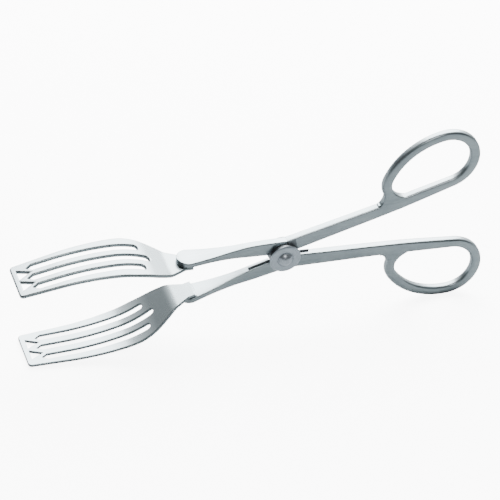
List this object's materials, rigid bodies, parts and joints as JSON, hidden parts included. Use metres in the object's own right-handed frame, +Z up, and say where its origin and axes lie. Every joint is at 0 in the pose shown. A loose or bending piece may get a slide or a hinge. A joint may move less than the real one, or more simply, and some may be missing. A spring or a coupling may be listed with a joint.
{
  "type": "serving tongs",
  "caption": "Scissor-action serving tongs: two crossed steel arms with finger loops and slotted spoon heads, held open by a torsion spring at a rivet.",
  "frame": {"origin": "centre of the bounding box's underside; the tongs stand on edge, open, on the tip of the lower head and the side of the lower finger loop", "axes": "+X towards the finger loops, +Y along the pivot rivet away from the front arm's washer, +Z up, across the pair; the arms swing in the XZ plane"},
  "size_m": [0.2674, 0.0314, 0.1155],
  "materials": {
    "satin_steel": "satin brushed",
    "polished_steel": "polished",
    "turned_steel": "turned, semi-bright",
    "spring_steel": "drawn wire"
  },
  "bodies": {
    "back_half": {"back_arm": "satin_steel", "back_head": "polished_steel", "back_head_weld": "polished_steel", "back_loop_weld": "satin_steel", "pivot_rivet": "turned_steel", "front_washer": "turned_steel", "back_washer": "turned_steel", "torsion_spring": "spring_steel"},
    "front_half": {"front_arm": "satin_steel", "front_head": "polished_steel", "front_head_weld": "polished_steel", "front_loop_weld": "satin_steel"}
  },
  "joints": [
    {"name": "pivot", "type": "hinge", "parent": "back_half", "child": "front_half", "pos_m": [0.01602, 0, 0.04529], "axis": [0, 1, 0], "range_deg": [0, 18.4], "stiffness_Nm_per_rad": 0.86, "springref_deg": -9.74, "deforming": ["torsion_spring"]}
  ]
}
